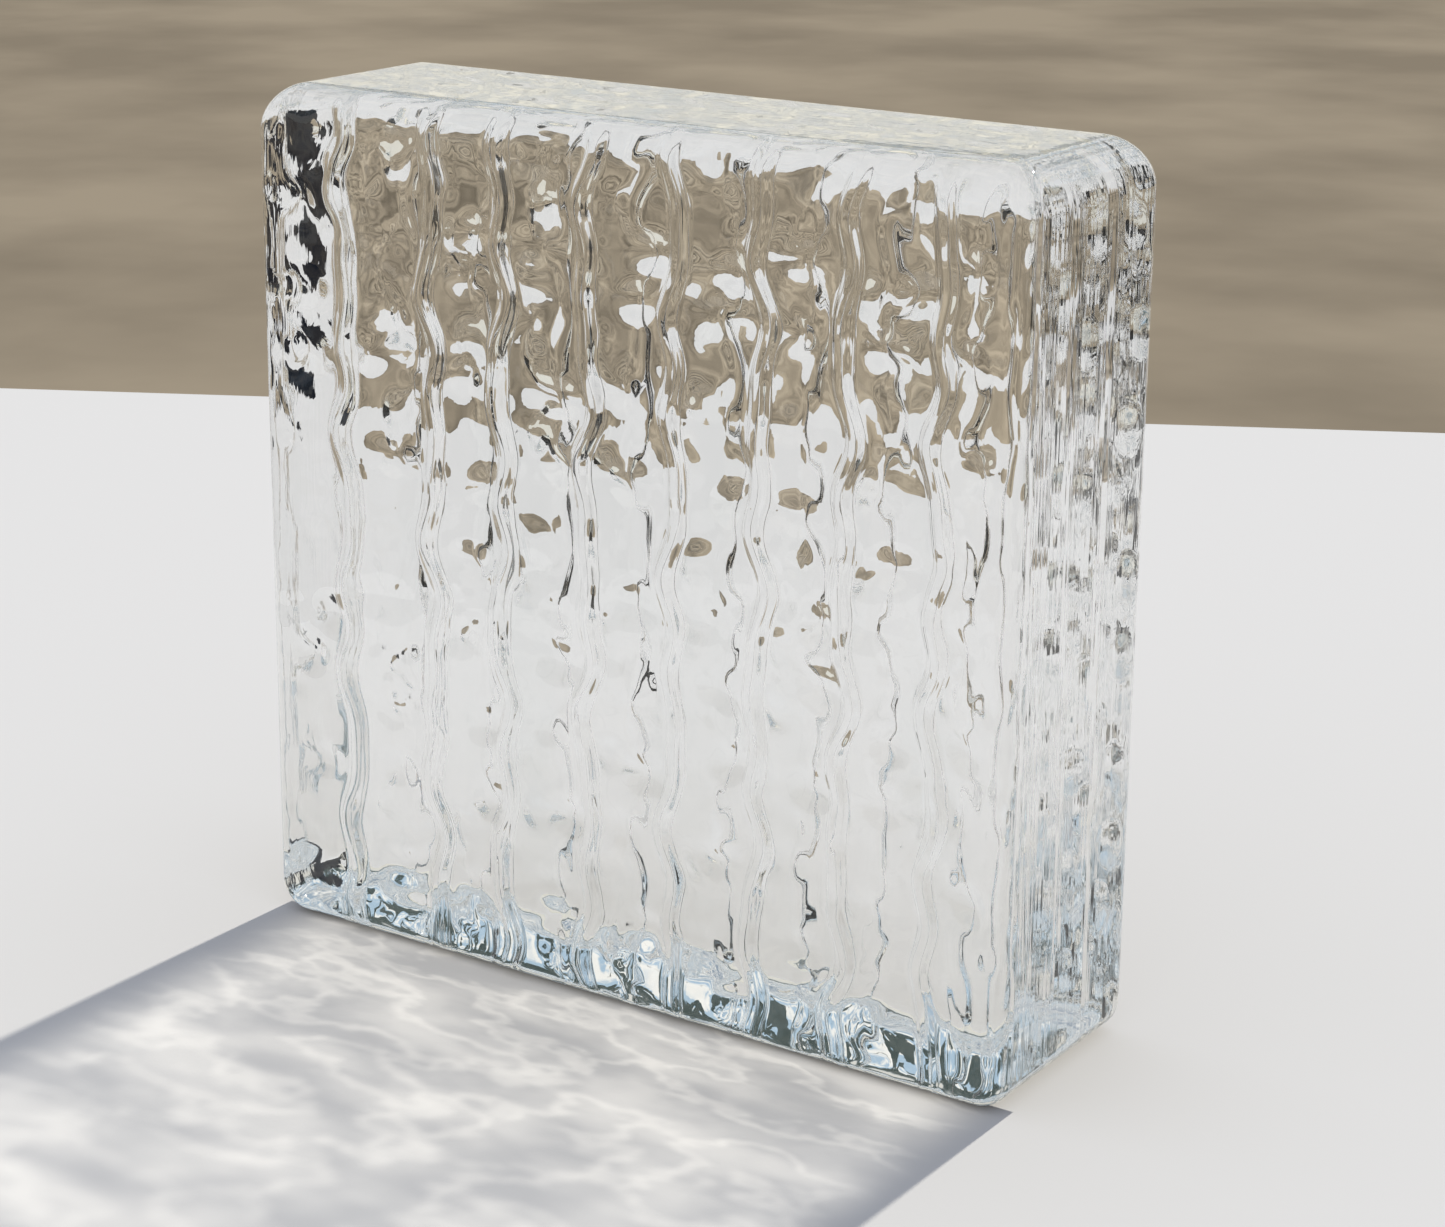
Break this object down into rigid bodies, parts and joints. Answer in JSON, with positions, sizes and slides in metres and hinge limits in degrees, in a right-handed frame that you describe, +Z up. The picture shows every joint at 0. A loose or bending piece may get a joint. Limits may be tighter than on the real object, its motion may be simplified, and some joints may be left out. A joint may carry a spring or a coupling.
{
  "type": "glass block",
  "caption": "Square solid cast glass block with rounded edges and wavy upright flutes on both large faces, laid in a wall to let light through.",
  "frame": {"origin": "centre of the bottom face, on the surface that the block stands on", "axes": "+X along the width, +Y through the thickness from the front face to the back face, +Z up along the flutes"},
  "size_m": [0.2, 0.06, 0.2],
  "materials": {
    "clear_glass": "clear cast glass, fire-polished, with a slightly wavy skin"
  },
  "bodies": {
    "root": {"glass_block": "clear_glass"}
  },
  "joints": []
}
